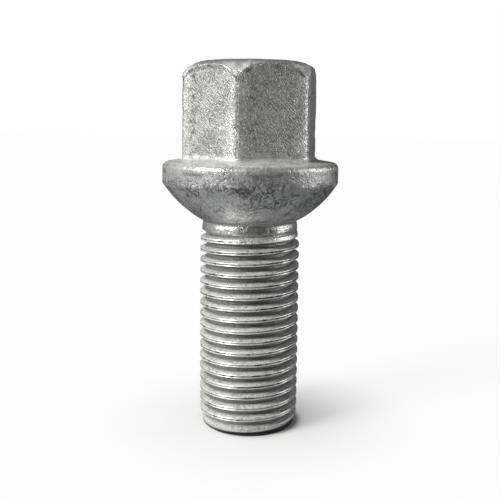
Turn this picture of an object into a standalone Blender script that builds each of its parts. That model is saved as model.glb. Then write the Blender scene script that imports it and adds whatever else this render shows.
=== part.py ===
"""Ball-seat wheel bolt, M14 x 1.5 with a hexagon head for a 17 mm socket.

The real bolt is one piece: a steel blank is forged to the hexagon, the collar, the ball seat
and the neck, and the thread is rolled onto its shank. So the model is one solid.
It stands on its threaded end, with the origin at the middle of that end face and +Z up the axis.
Units are metres.
"""

import math

import bmesh
import bpy
from mathutils import Vector

# Thread: M14 x 1.5, rolled, right-handed
THREAD_MAJOR_R = 0.00686
THREAD_PITCH = 0.0015
THREAD_DEPTH_SHARE = 0.6134  # of the pitch, as on every metric external thread
THREAD_CREST_HALF = 0.11  # half the rounded crest's height, as a share of the pitch
THREAD_ROOT_HALF = 0.06  # half the root's height, as a share of the pitch
CREST_ROUNDING = 0.00006
CREST_HEIGHT_AT_X = 0.00128  # where the lowest crest passes the +X side

# Shank
SHANK_LENGTH = 0.0286  # from the end face to the foot of the ball seat
END_FACE_INSET = 0.00076  # how far inside the crests the end face's rim lies
END_EDGE = 0.00035  # rounding of that rim
LEAD_IN_LENGTH = 0.0019
NECK_STEP = 0.00029  # how far inside the crests the blank's own surface lies
NECK_LENGTH = 0.0012
UNDERCUT_DEPTH = 0.00012  # where the neck meets the seat
UNDERCUT_LENGTH = 0.0005
NECK_FILLET = 0.0003
RUNOUT_LENGTH = 0.0012  # over which the roots of the thread rise to the neck
CREST_FADE_LENGTH = 0.0020  # over which its crests fall to the neck
FADED_CREST_DROP = 0.00006  # how far below the neck's surface the last crest ends
THREAD_TAIL = 0.0003  # how far the faded thread runs on inside the neck

# Hexagon
HEX_ACROSS_FLATS = 0.0169
HEX_CORNER_R = 0.0012
HEX_HEIGHT = 0.0128  # from the collar's upper face, at the flats, to the top
HEX_BASE_FILLET = 0.0006
TOP_LAND_INSET = 0.00155  # how far inside the flats the level top ends
TOP_EDGE = 0.0016  # rounding between the top face and the chamfer
TOP_CHAMFER = math.radians(28)
TOP_SHOULDER = 0.0023  # rounding between the chamfer and the hexagon's corners
TOP_SHOULDER_END = math.radians(78)  # its slope where it meets a corner

# Collar and ball seat
COLLAR_LEDGE = 0.00243  # how far the collar stands out beyond the hexagon's corners
COLLAR_BAND = 0.0027
COLLAR_TOP_EDGE = 0.0008  # rounding of the band's upper rim
COLLAR_LOW_EDGE = 0.0007  # rounding where the band meets the seat
COLLAR_SLOPE = math.radians(8)  # fall of the collar's upper face, outwards
BALL_MARGIN = 0.002  # how much larger than the collar the seat's ball is, in radius

# Facets
THREAD_STEPS = 36
SEAT_STEPS = 6
EDGE_STEPS = 3
SHOULDER_STEPS = 4
FILLET_STEPS = 4
FLAT_STEPS = 4  # from the end of a rounded corner to the middle of a flat
CORNER_STEPS = 2  # from the middle of a rounded corner to its end
TINY = 1e-7

STEEL_COLOUR = (0.42, 0.42, 0.40, 1.0)

# Radii that follow from the sizes above
THREAD_ROOT_R = THREAD_MAJOR_R - THREAD_DEPTH_SHARE * THREAD_PITCH
END_FACE_R = THREAD_MAJOR_R - END_FACE_INSET
NECK_R = THREAD_MAJOR_R - NECK_STEP
UNDERCUT_R = NECK_R - UNDERCUT_DEPTH
HEX_APOTHEM = HEX_ACROSS_FLATS / 2
HEX_CORNER_CENTRE = (HEX_APOTHEM - HEX_CORNER_R) / math.cos(math.pi / 6)
TOP_LAND_R = HEX_APOTHEM - TOP_LAND_INSET
COLLAR_R = HEX_CORNER_CENTRE + HEX_CORNER_R + COLLAR_LEDGE
SEAT_R = COLLAR_R + BALL_MARGIN

# Heights along the axis that follow from them
NECK_END_Z = SHANK_LENGTH - NECK_LENGTH
RUNOUT_END_Z = NECK_END_Z - RUNOUT_LENGTH
SEAT_CENTRE_Z = SHANK_LENGTH + math.sqrt(SEAT_R**2 - UNDERCUT_R**2)
COLLAR_LOW_Z = SEAT_CENTRE_Z - math.sqrt(SEAT_R**2 - COLLAR_R**2)
COLLAR_TOP_Z = COLLAR_LOW_Z + COLLAR_BAND
HEX_BASE_Z = COLLAR_TOP_Z + (COLLAR_R - HEX_APOTHEM) * math.tan(COLLAR_SLOPE)
TOP_Z = HEX_BASE_Z + HEX_HEIGHT


def clear_scene():
    for obj in list(bpy.data.objects):
        bpy.data.objects.remove(obj, do_unlink=True)


def new_collection(name):
    collection = bpy.data.collections.new(name)
    bpy.context.scene.collection.children.link(collection)
    return collection


def arc(centre, radius, start, end, steps):
    """Points (r, z) on an arc in a half-plane through the axis, start and end included."""
    points = []
    for i in range(steps + 1):
        angle = start + (end - start) * i / steps
        points.append((centre[0] + radius * math.cos(angle), centre[1] + radius * math.sin(angle)))
    return points


def hexagon_radius(from_corner, offset=0.0):
    """Distance from the axis to the hexagon's side, at an angle of up to 30 degrees from a corner.

    With an offset, the rounded hexagon is grown by that much all round.
    """
    corner_r = HEX_CORNER_R + offset
    if abs(from_corner) > corner_half_angle(offset):
        return (HEX_APOTHEM + offset) / math.cos(math.pi / 6 - abs(from_corner))
    across = HEX_CORNER_CENTRE * math.sin(from_corner)
    return HEX_CORNER_CENTRE * math.cos(from_corner) + math.sqrt(corner_r**2 - across**2)


def corner_half_angle(offset=0.0):
    """Angle from a corner's middle, seen from the axis, to where its rounding meets the flat."""
    corner_r = HEX_CORNER_R + offset
    return math.atan2(corner_r / 2, HEX_CORNER_CENTRE + corner_r * math.cos(math.pi / 6))


def head_columns():
    """The angles round the head that the loft's points lie at, each with its angle from its corner."""
    corner = corner_half_angle()
    half = [corner * i / CORNER_STEPS for i in range(CORNER_STEPS + 1)]
    half += [corner + (math.pi / 6 - corner) * i / FLAT_STEPS for i in range(1, FLAT_STEPS + 1)]
    sector = [-angle for angle in reversed(half[1:-1])] + half
    columns = []
    for k in range(6):
        corner_at = -math.pi / 2 + k * math.pi / 3
        columns += [(corner_at + angle, angle) for angle in sector]
    return columns


def collar_face_z(radius):
    """Height of the collar's sloping upper face at a distance from the axis."""
    return COLLAR_TOP_Z + (COLLAR_R - radius) * math.tan(COLLAR_SLOPE)


def crown_z(radius, edge_end):
    """Height of the turned chamfer beyond the top edge: a cone, then a shoulder turning downwards."""
    shoulder_r = hexagon_radius(0) - TOP_SHOULDER * math.sin(TOP_SHOULDER_END)
    cone_end_r = shoulder_r + TOP_SHOULDER * math.sin(TOP_CHAMFER)
    cone_z = edge_end[1] - (min(radius, cone_end_r) - edge_end[0]) * math.tan(TOP_CHAMFER)
    if radius <= cone_end_r:
        return cone_z
    shoulder_z = cone_z - TOP_SHOULDER * math.cos(TOP_CHAMFER)
    return shoulder_z + math.sqrt(max(0.0, TOP_SHOULDER**2 - (radius - shoulder_r) ** 2))


def hexagon_rows():
    """Functions of a column's angle from its corner, each giving (r, z), from the top face down."""
    edge_centre = (TOP_LAND_R, TOP_Z - TOP_EDGE)
    edge = arc(edge_centre, TOP_EDGE, math.pi / 2, math.pi / 2 - TOP_CHAMFER, EDGE_STEPS)
    rows = [lambda angle, point=point: point for point in edge]
    for i in range(1, SHOULDER_STEPS + 1):
        share = math.sin(math.pi / 2 * i / SHOULDER_STEPS)

        def crown(angle, share=share):
            radius = edge[-1][0] + (hexagon_radius(angle) - edge[-1][0]) * share
            return radius, crown_z(radius, edge[-1])

        rows.append(crown)
    for i in range(FILLET_STEPS + 1):
        turn = math.pi / 2 * i / FILLET_STEPS
        offset = HEX_BASE_FILLET * (1 - math.cos(turn))
        height = HEX_BASE_FILLET * (1 - math.sin(turn))

        def fillet(angle, offset=offset, height=height):
            radius = hexagon_radius(angle, offset)
            return radius, collar_face_z(radius) + height

        rows.append(fillet)
    return rows


def collar_profile():
    """(r, z) down the collar's rim and band, the ball seat, the neck and the run-out cone."""
    slope_normal = math.pi / 2 - COLLAR_SLOPE
    rim_r = COLLAR_R - COLLAR_TOP_EDGE
    rim_z = collar_face_z(rim_r + COLLAR_TOP_EDGE * math.cos(slope_normal))
    rim_z -= COLLAR_TOP_EDGE * math.sin(slope_normal)
    points = arc((rim_r, rim_z), COLLAR_TOP_EDGE, slope_normal, 0, EDGE_STEPS)

    # The rounding under the band touches the band and, from inside, the seat's sphere.
    low_r = COLLAR_R - COLLAR_LOW_EDGE
    low_z = SEAT_CENTRE_Z - math.sqrt((SEAT_R - COLLAR_LOW_EDGE) ** 2 - low_r**2)
    seat_start = -math.acos(low_r / (SEAT_R - COLLAR_LOW_EDGE))
    points += arc((low_r, low_z), COLLAR_LOW_EDGE, 0, seat_start, EDGE_STEPS)

    # The fillet under the seat touches the sphere from outside, and the undercut.
    fillet_r = UNDERCUT_R + NECK_FILLET
    seat_end = -math.acos(fillet_r / (SEAT_R + NECK_FILLET))
    points += arc((0, SEAT_CENTRE_Z), SEAT_R, seat_start, seat_end, SEAT_STEPS)[1:]
    fillet_z = SEAT_CENTRE_Z + (SEAT_R + NECK_FILLET) * math.sin(seat_end)
    points += arc((fillet_r, fillet_z), NECK_FILLET, seat_end + math.pi, math.pi, EDGE_STEPS)[1:]

    # Below the neck, a cone runs in under the roots of the thread and fills its last grooves.
    core_r = THREAD_ROOT_R - (NECK_R - THREAD_ROOT_R)
    neck_start_z = fillet_z - UNDERCUT_LENGTH
    points += [(NECK_R, neck_start_z), (NECK_R, NECK_END_Z), (core_r, RUNOUT_END_Z)]
    return points


def add_ring(bm, columns, row):
    ring = []
    for around, from_corner in columns:
        radius, z = row(from_corner)
        ring.append(bm.verts.new((radius * math.cos(around), radius * math.sin(around), z)))
    return ring


def make_head(collection, material):
    """Loft from the hexagon's top, through the fillet, to the round collar, the seat and the neck."""
    rows = hexagon_rows()
    rows += [lambda angle, point=point: point for point in collar_profile()]
    columns = head_columns()
    bm = bmesh.new()
    rings = [add_ring(bm, columns, row) for row in rows]
    for upper, lower in zip(rings, rings[1:]):
        for i, point in enumerate(upper):
            j = (i + 1) % len(columns)
            bm.faces.new((point, lower[i], lower[j], upper[j]))
    bm.faces.new(rings[0])
    bm.faces.new(reversed(rings[-1]))
    bmesh.ops.recalc_face_normals(bm, faces=bm.faces)
    return finish_mesh(bm, "wheel_bolt", collection, material)


def thread_profile():
    """One pitch of the rolled thread, as (r, z) from the top down, with its crest at height 0."""
    shares = (
        (0.5 - THREAD_ROOT_HALF, THREAD_ROOT_R),
        (THREAD_CREST_HALF, THREAD_MAJOR_R - CREST_ROUNDING),
        (0.0, THREAD_MAJOR_R),
        (-THREAD_CREST_HALF, THREAD_MAJOR_R - CREST_ROUNDING),
        (-0.5 + THREAD_ROOT_HALF, THREAD_ROOT_R),
        (-0.5 - THREAD_ROOT_HALF, THREAD_ROOT_R),
    )
    return [(radius, share * THREAD_PITCH) for share, radius in shares]


def helical_sheet(collection):
    """The thread's surface alone, longer than the shank at both ends, as a bmesh."""
    profile = thread_profile()
    turns = math.ceil(SHANK_LENGTH / THREAD_PITCH) + 2
    lowest_crest = CREST_HEIGHT_AT_X - 2 * THREAD_PITCH
    mesh = bpy.data.meshes.new("thread_profile")
    points = [(radius, 0, z + lowest_crest) for radius, z in profile]
    mesh.from_pydata(points, [(i, i + 1) for i in range(len(points) - 1)], [])
    obj = bpy.data.objects.new("thread_profile", mesh)
    collection.objects.link(obj)
    screw = obj.modifiers.new("helix", "SCREW")
    screw.angle = 2 * math.pi
    screw.screw_offset = THREAD_PITCH
    screw.iterations = turns
    screw.steps = screw.render_steps = THREAD_STEPS
    screw.use_merge_vertices = False
    graph = bpy.context.evaluated_depsgraph_get()
    swept = bpy.data.meshes.new_from_object(obj.evaluated_get(graph))
    bpy.data.objects.remove(obj, do_unlink=True)
    bm = bmesh.new()
    bm.from_mesh(swept)
    bmesh.ops.remove_doubles(bm, verts=bm.verts, dist=TINY * 10)
    return bm


def shank_envelope():
    """(z, r) of the turned outline that the thread's crests stay inside, from the end face up."""
    edge_z = END_EDGE * (1 - math.sin(math.pi / 6))
    edge_r = END_FACE_R + END_EDGE * math.cos(math.pi / 6)
    fade_r = NECK_R - FADED_CREST_DROP
    fade_z = NECK_END_Z - CREST_FADE_LENGTH
    return [
        (0.0, END_FACE_R),
        (edge_z, edge_r),
        (END_EDGE, END_FACE_R + END_EDGE),
        (LEAD_IN_LENGTH, THREAD_MAJOR_R),
        (fade_z, THREAD_MAJOR_R),
        (NECK_END_Z, fade_r),
        (NECK_END_Z + THREAD_TAIL, fade_r),
    ]


def envelope_radius(envelope, z):
    for (low_z, low_r), (high_z, high_r) in zip(envelope, envelope[1:]):
        if z <= high_z:
            return low_r + (high_r - low_r) * max(0.0, z - low_z) / (high_z - low_z)
    return envelope[-1][1]


def make_threaded_shank(collection, material):
    """Cut the helical sheet to length, close its ends and bring its crests inside the envelope."""
    envelope = shank_envelope()
    bm = helical_sheet(collection)
    for z, _ in envelope:
        whole = bm.verts[:] + bm.edges[:] + bm.faces[:]
        bmesh.ops.bisect_plane(
            bm,
            geom=whole,
            dist=TINY,
            plane_co=(0, 0, z),
            plane_no=(0, 0, 1),
            clear_outer=z == envelope[-1][0],
            clear_inner=z == envelope[0][0],
        )
    for point in bm.verts:
        outward = Vector((point.co.x, point.co.y, 0))
        limit = envelope_radius(envelope, point.co.z)
        if outward.length > limit:
            outward *= limit / outward.length
            point.co = (outward.x, outward.y, point.co.z)
    rims = [edge for edge in bm.edges if edge.is_boundary]
    bmesh.ops.holes_fill(bm, edges=rims)
    bmesh.ops.recalc_face_normals(bm, faces=bm.faces)
    return finish_mesh(bm, "threaded_shank", collection, material)


def finish_mesh(bm, name, collection, material):
    mesh = bpy.data.meshes.new(name)
    bm.to_mesh(mesh)
    bm.free()
    mesh.materials.append(material)
    obj = bpy.data.objects.new(name, mesh)
    collection.objects.link(obj)
    return obj


def zinc_coated_steel():
    material = bpy.data.materials.new("zinc_coated_steel")
    material.use_nodes = True
    shader = material.node_tree.nodes["Principled BSDF"]
    shader.inputs["Base Color"].default_value = STEEL_COLOUR
    shader.inputs["Metallic"].default_value = 0.9
    shader.inputs["Roughness"].default_value = 0.45
    return material


def shade(obj):
    """Smooth across the round surfaces, with the flats, rims and thread flanks kept crisp."""
    obj.data.shade_smooth()
    obj.data.set_sharp_from_angle(angle=math.radians(35))


def main():
    clear_scene()
    parts = new_collection("wheel_bolt")
    helpers = new_collection("helpers")
    steel = zinc_coated_steel()
    shank = make_threaded_shank(helpers, steel)
    shank.hide_render = True
    shank.display_type = "WIRE"
    bolt = make_head(parts, steel)
    join = bolt.modifiers.new("join_shank", "BOOLEAN")
    join.operation = "UNION"
    join.solver = "EXACT"
    join.object = shank
    shade(bolt)


main()
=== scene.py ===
"""Ball-seat wheel bolt, standing on its threaded end on a pale studio floor.

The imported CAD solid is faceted. Here the same bolt is rebuilt as one fine mesh, with the marks of
forging and thread rolling on it, and shown in its place. Lengths are in metres.
"""

import math
from types import SimpleNamespace

import bmesh
import bpy
import numpy as np
from mathutils import Matrix, Vector


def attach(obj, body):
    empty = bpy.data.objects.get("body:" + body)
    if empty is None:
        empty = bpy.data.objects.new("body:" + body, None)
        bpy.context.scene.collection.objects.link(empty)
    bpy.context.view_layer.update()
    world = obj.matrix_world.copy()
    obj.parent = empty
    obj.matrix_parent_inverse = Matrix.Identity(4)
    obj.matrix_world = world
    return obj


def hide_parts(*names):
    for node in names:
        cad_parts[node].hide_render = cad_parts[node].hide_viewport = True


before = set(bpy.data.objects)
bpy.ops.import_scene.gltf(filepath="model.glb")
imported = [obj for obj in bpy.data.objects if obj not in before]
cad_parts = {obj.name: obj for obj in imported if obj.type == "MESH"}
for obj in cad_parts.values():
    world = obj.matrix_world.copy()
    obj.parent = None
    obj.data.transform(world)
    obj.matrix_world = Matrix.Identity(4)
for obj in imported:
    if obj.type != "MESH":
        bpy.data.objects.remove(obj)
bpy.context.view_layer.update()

# The bolt's sizes, as in the CAD model, but with wider crests and roots and with a seam in the crests
THREAD_MAJOR_R = 0.00686
THREAD_PITCH = 0.0015
THREAD_DEPTH_SHARE = 0.6134  # of the pitch
THREAD_ROOT_R = THREAD_MAJOR_R - THREAD_DEPTH_SHARE * THREAD_PITCH
CREST_HALF = 0.14  # share of the pitch
ROOT_HALF = 0.12  # share of the pitch
CREST_HEIGHT_AT_X = 0.00128  # height of the lowest crest over the x axis
CREST_SEAM = 0.00009  # depth of the seam that rolling leaves along the crest
SEAM_SHARE = 0.05  # its width as a share of the pitch
FLANK_SOFTENING = 0.14  # share of a flank over which its edge to the crest is rounded

SHANK_LENGTH = 0.0286
END_FACE_R = THREAD_MAJOR_R - 0.00076
END_EDGE = 0.00035
LEAD_IN_LENGTH = 0.0019
NECK_R = THREAD_MAJOR_R - 0.00029
NECK_END_Z = SHANK_LENGTH - 0.0012
UNDERCUT_R = NECK_R - 0.00012
UNDERCUT_LENGTH = 0.0005
NECK_FILLET = 0.0003
RUNOUT_LENGTH = 0.0012
CREST_FADE_LENGTH = 0.0020

HEX_APOTHEM = 0.0169 / 2
HEX_CORNER_R = 0.0012
HEX_CORNER_CENTRE = (HEX_APOTHEM - HEX_CORNER_R) / math.cos(math.pi / 6)
HEX_HEIGHT = 0.0128
HEX_BASE_FILLET = 0.0006
TOP_LAND_R = HEX_APOTHEM - 0.00155
TOP_EDGE = 0.0016
TOP_CHAMFER = math.radians(28)
TOP_SHOULDER = 0.0023
TOP_SHOULDER_END = math.radians(78)

COLLAR_R = HEX_CORNER_CENTRE + HEX_CORNER_R + 0.00243
COLLAR_BAND = 0.0027
COLLAR_TOP_EDGE = 0.0008
COLLAR_LOW_EDGE = 0.0007
COLLAR_SLOPE = math.radians(8)
SEAT_R = COLLAR_R + 0.002
SEAT_CENTRE_Z = SHANK_LENGTH + math.sqrt(SEAT_R**2 - UNDERCUT_R**2)
COLLAR_LOW_Z = SEAT_CENTRE_Z - math.sqrt(SEAT_R**2 - COLLAR_R**2)
COLLAR_TOP_Z = COLLAR_LOW_Z + COLLAR_BAND
HEX_BASE_Z = COLLAR_TOP_Z + (COLLAR_R - HEX_APOTHEM) * math.tan(COLLAR_SLOPE)
TOP_Z = HEX_BASE_Z + HEX_HEIGHT

# Mesh density
COLUMNS_PER_CORNER = 9
COLUMNS_PER_FLAT = 28
CORNER_COLUMNS_HALF = math.radians(6)  # the closer columns reach this far to each side of a corner
ROWS_PER_PITCH = (-0.38, -0.27, -0.18, -0.14, -0.1, -0.06, -0.02, 0.02, 0.06, 0.1, 0.14, 0.18, 0.27, 0.38)
TOP_ROWS = 16
CROWN_EDGE_ROWS = 5
CROWN_ROWS = 15
SIDE_ROWS = 42
FOOT_ROWS = 9
COLLAR_ROWS = 7
RIM_ROWS = 8
BAND_ROWS = 9
LOW_EDGE_ROWS = 6
SEAT_ROWS = 26
FILLET_ROWS = 4
NECK_ROWS = 2
END_EDGE_ROWS = 6
END_ROWS = 10
MIDDLE_R = 0.0004  # the innermost ring of the top face and of the end face
SHARP_ANGLE = math.radians(24)
THREAD_LOW_Z = 0.00034  # the thread's mesh starts here, above the end's rounded edge
THREAD_HIGH_Z = NECK_END_Z + 0.0002
TINY = 1e-7

# Noises in the surface: width in metres, seed and octaves
LUMPS = (0.0028, 21, 3)
CHIPS = (0.0012, 31, 3)
FINE = (0.0006, 41, 2)
CREST_GRAIN = (0.0007, 51, 3)
BEADS = (0.0005, 11, 3)
BEAD_PATCHES = (0.0035, 12, 1)
BEAD_STRETCH = (1, 1, 0.3)
BEAD_PATCH_SHARE = 0.6

# How far the marks move the surface
LUMP_DEPTH = 0.000025
CORNER_CHIP_DEPTH = 0.00012
RIDGE_CHIP_DEPTH = 0.00006
RIDGE_FINE_DEPTH = 0.00002
FINE_DEPTH = 0.000012
CREST_GRAIN_DEPTH = 0.00002
SEAM_PIT_DEPTH = 0.0001
DENT_COUNT = 170
DENT_SEED = 7
DENT_SIZES = (0.00015, 0.00032)
DENT_DEPTH = 0.00004
DENT_REACH = 3  # in sizes
EDGES_ON_HEX = 0.5  # the hexagon's edges are marked less than the collar's

# How noises break marks up: contrast, how much shows at a noise of 0, and the most if it isn't 1
SEAM_PIT_PATCHES = (3, -0.5)
EDGE_PATCHES = (1.5, 0)
CHIP_PATCHES = (1, 0.1)
WEDGE_PATCHES = (1, 1)
ARC_WEAR_PATCHES = (2, 1, 1.5)
CORNER_DIRT_PATCHES = (1.2, 0)
ARC_DIRT_PATCHES = (1.5, 0.5, 0.9)
CORNER_STAIN_PATCHES = (1, 0.7)
ARC_STAIN_PATCHES = (1, 0.8)
RIM_LINE_CONTRAST = 3

# How much each place counts as worn, dirty, smooth, bare and matt; some of the wear, dirt and matt weights
# are painted light and painted shade
# Wear and painted light: the collar's upper face, the thread's upper flanks, its last turn and the crown
# over each corner are painted paler as painted light, and the seat's pale place is partly a painted
# reflection
WORN_AND_PAINTED_LIGHT = {"corner": 0.55, "on_ledge": 1, "on_neck": 0.2, "flank": 1, "foot": 0.8, "wedge": 1, "rubbed": 0.8}
# Dirt and painted shade: the weights under the thread's crests, in its crest seam and pits, and on the
# end's edge next to the floor are painted shade
DIRTY_AND_PAINTED_SHADE = {"dents": 0.4, "hollow": 0.4, "under": 1, "seam": 0.85, "seam_pits": 1, "sole": 1, "top_rim": 0.7}
SMOOTH = {"on_neck": 0.7, "polish": 1, "on_ledge": 0.25, "on_band": 0.4}
BARE = {"polish": 1, "on_neck": 0.8, "rubbed": 0.9}
# Matt and painted light: the colour this adds on the collar's upper face, the thread's upper flanks, its
# last turn and the crown over each corner is painted light
MATT_AND_PAINTED_LIGHT = {
    "on_ledge": 0.75,
    "flank": 1,
    "rubbed": 0.2,
    "above_arc": 0.35,
    "wedge": 1,
    "foot": 0.6,
    "corner": 0.25,
}
RIDGE_WEAR = 0.7
RIDGE_WEAR_BY_CHIPS = 0.5
RIM_LINE_DIRT = 0.8
CORNER_DIRT = 0.4
SEAT_DULLNESS = 0.85
DULLNESS_BY_LUMPS = 0.4
DULLNESS_LOST_ON_BAND = 0.85

# Where the marks lie
PART_BLEND = 0.0008  # length over which the thread, the collar and the hexagon pass into each other
DULL_BLEND = 3 * PART_BLEND
# Painted shade under the thread's crests, wear and painted light on its flanks, and polish on its crests,
# by the share of the pitch
PAINTED_SHADE_UNDER_CREST = ((-0.38, 0.62), (-0.37, 0.85), (-0.18, 0.85), (-0.14, 0), (0.33, 0.02), (0.38, 0.62))
FLANK_WEAR_AND_PAINTED_LIGHT = ((0.14, 0.9), (0.18, 1), (0.27, 1), (0.38, 0.3))
CREST_POLISH = ((0.14, 1), (0.18, 0))
RIDGE_BEND = 0.0008  # a bend of one over this is a full ridge
HOLLOW_BEND = 0.0004  # a bend of one over this, inwards, is a full hollow
SIDE_R = 0.0078  # the hexagon's sides, from here outwards
SIDE_BLEND = 0.001
CORNER_WIDTH = 0.0012
STAIN_FROM_CORNER = 0.0019
STAIN_WIDTH = 0.0007
CREST_BAND = 0.0002  # the outermost part of the thread
CREST_BLEND = 0.0001
THREAD_BLEND = 0.001  # length over which wear on the thread fades at the neck
LEDGE_BLEND = 0.0002  # the collar's upper face
LEDGE_ABOVE = 0.0004
NECK_WIDTH = 0.0002
BAND_BLEND = 0.0006
FULL_THREAD_Z = 0.0006
FOOT_TOP = 0.0012  # the thread's last turn, above the end's edge
FOOT_BLEND = 0.0014
SOLE_TOP = 0.0002  # the end's edge, next to the floor
SOLE_BLEND = 0.0005
ARC_WIDTH = 0.0002  # the edge between each flat and the turned crown
WEDGE_WIDTH = 0.0019  # a pale place on the crown over each corner: a painted highlight, broken up like wear
WEDGE_HEIGHT = 0.0011
WEDGE_BLEND = 0.0005
ARC_DIRT_BELOW = 0.0004
ARC_STAIN_WIDTH = 0.00025
RIM_LINE_BELOW = 0.0011  # a darker line under the collar's rim
RIM_LINE_WIDTH = 0.00016
RIM_LINE_WANDER = 0.0001
TOP_RIM_HEIGHT = 0.0006  # a darker line round the top face
TOP_RIM_WIDTH = 0.0004
RUBBED_AND_PAINTED_REFLECTION_PLACE = (0.0002, -0.0083, 0.0295)  # a paler place low on the seat: rubbed, and a painted reflection
RUBBED_AND_PAINTED_REFLECTION_SIZE = 0.0027
STROKE_SCALE = 700  # of the slanting strokes' coordinates, per metre
SIDE_LEAN = (0.3, 0.4)  # how far up a side may look before it loses the strokes, and over how much

# The metal's noises: scale per metre, detail, roughness and distortion
BLOTCHES = (420, 4, 0.6)
WORMS = (1900, 2, 0.5, 0.6)
SAND = (6500, 1, 0.5)
STROKES = (1.0, 2, 0.5, 0.6)
SPECKLE = (2800, 2, 0.5, 0.6)
WANDER = (800, 3, 0.5, 1.5)
VEIN_AREAS = (330, 2, 0.5)
FLECKS = (1400, 3, 0.6)
STROKE_STRETCH = (1.7, 6.5, 1.0)
NOISE_MIDDLE = 0.5
FLECK_EDGE = (0.48, 0.62)
VEIN_WIDTH = 0.08
VEIN_AREA_EDGE = (0.44, 0.54)
VEIN_AREA_WHERE_DULL = 0.08  # added to the areas' noise
VEIN_STRENGTH = 0.45
VEIN_STRENGTH_WHERE_DULL = 0.55  # added
PIT_SCALE = 950.0
PIT_EDGE = (0.08, 0.2)
PIT_CHOICE = (0.5, 0.8)  # cells whose colour is above this have a pit

# The metal's relief. Of two numbers the second is for the hexagon's sides, or for smooth places
WORM_RELIEF = 0.3
SAND_RELIEF = (0.42, 0.26)
STREAK_RELIEF = (0.55, 0.95)
MARK_RELIEF = -0.4  # how deep veins, stains and pits go
BUMP_STRENGTH = (1.0, 0.25)
BUMP_DISTANCE = 0.00014

# The metal's colours
COAT_DARK = (0.15, 0.152, 0.155, 1)
COAT_MIDDLE = (0.3, 0.3, 0.294, 1)
COAT_PALE = (0.4, 0.398, 0.39, 1)
# Added where the metal is worn and where light is painted on
ADDED_BY_WEAR_AND_PAINTED_LIGHT = (0.24, 0.238, 0.232, 1)
ADDED_BY_RUBBING_AND_PAINTED_REFLECTION = (0.32, 0.318, 0.308, 1)
ADDED_WHERE_MATT_AND_PAINTED_LIGHT = (0.08, 0.08, 0.078, 1)
OXIDE_TINT = (0.9, 0.935, 0.97, 1)
# Colour of dirt, marks and painted shade
DIRT_AND_PAINTED_SHADE_COLOUR = (0.02, 0.02, 0.021, 1)
TONE_OF_SAND = 0.48
TONE_OF_BLOTCHES = 0.1
TONE_OF_STREAKS = 0.27
TONE_OF_WORMS = 0.1
TONE_MIDDLE = 0.48
TONE_RANGE = (0.1, 0.25)  # where the metal is rough and where it is smooth
DARK_IN_PITS = 0.6
DARK_IN_STAINS = 0.8

# How metallic and how rough the surface is, and what marks add
METALLIC_BY_WEAR = (0.3, 0.8)
METALLIC_WHERE_BARE = 0.9
METALLIC_WHERE_DULL = 0.5
METALLIC_BY_MATTNESS = -0.75
ROUGHNESS = (0.3, 0.44)
ROUGHNESS_EDGE = (0.35, 0.65)  # noise at which these two are reached
ROUGHNESS_BY_WEAR = -0.05
ROUGHNESS_WHERE_BARE = -0.05
ROUGHNESS_BY_POLISH = 0.03
ROUGHNESS_BY_DIRT = 0.1

# The photograph's camera
CAMERA_DISTANCE = 0.0982
CAMERA_HEIGHT = 0.04134
CAMERA_AZIMUTH = math.radians(10.45)
CAMERA_TILT = math.radians(6.65)
CAMERA_ROLL = math.radians(0.55)
LENS_MM = 51.5
SENSOR_MM = 36
SHIFT_Y = -0.08
CLIP_START = 0.002
CLIP_END = 20

# Light
WHITE = (1.0, 1.0, 1.0, 1.0)
BLACK = (0.0, 0.0, 0.0, 1.0)
WORLD_FILL = 0.055
SUNS = (  # name, strength, azimuth, elevation, spread and colour
    ("key", 4.1, math.radians(-58), math.radians(28), math.radians(22), (1.0, 0.99, 0.955)),
    ("top", 1.7, math.radians(-75), math.radians(58), math.radians(50), WHITE[:3]),
    ("strip", 0.72, math.radians(92), math.radians(14), math.radians(25), WHITE[:3]),
)
CARD_R = 0.09
CARD_HEIGHT = 0.14
CARD_LOW_Z = 0.0003
CARD_COLUMNS = 12
LYING = ((0.036, CARD_LOW_Z), (CARD_R, CARD_LOW_Z))
UPRIGHT = ((CARD_R, CARD_LOW_Z), (CARD_R, CARD_HEIGHT))
# From and to in degrees, how bright, and the profile: radius and height of its points
CARDS = (
    (-56, -36, 0.35, LYING),
    (-36, 90, 0.01, LYING),
    (90, 175, 0.15, ((0.03, CARD_LOW_Z), (CARD_R, CARD_LOW_Z))),
    (-20, 66, 0.06, UPRIGHT),
    (68, 104, 6.6, ((CARD_R, 0.033), (CARD_R, 0.062))),
    (108, 175, 0.06, UPRIGHT),
    (-175, -115, 0.15, ((0.018, CARD_LOW_Z), *UPRIGHT)),
)
CEILING_GLOW = 0.14
FLOOR_SIZE = 6.0
# The floor's colour close to the foot, darker than far out: a painted shade
NEAR_FLOOR_COLOUR_WITH_PAINTED_SHADE = (0.66, 0.662, 0.668, 1.0)
FLOOR_FAR_COLOUR = (0.08, 0.08, 0.082, 1.0)
FLOOR_FAR_GLOW = 0.895
FLOOR_BOUNCE = (0.42, 0.42, 0.42, 1.0)
FLOOR_ROUGHNESS = 0.9
NEAR_START, NEAR_END = 0.0062, 0.0265  # the floor round the foot, from the bolt's axis, where its darker colour is a painted shade
NEAR_MOST = 0.76
NEAR_FALL = 1.7
# A ring next to the foot that takes the darker near colour in full: painted contact shade
CONTACT_START, CONTACT_END = 0.0068, 0.009


def arc(centre, radius, start, end, steps):
    """Points (r, z) on an arc in a half-plane through the axis, both ends included."""
    angles = np.linspace(start, end, steps + 1)
    return [(centre[0] + radius * math.cos(a), centre[1] + radius * math.sin(a)) for a in angles]


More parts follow.
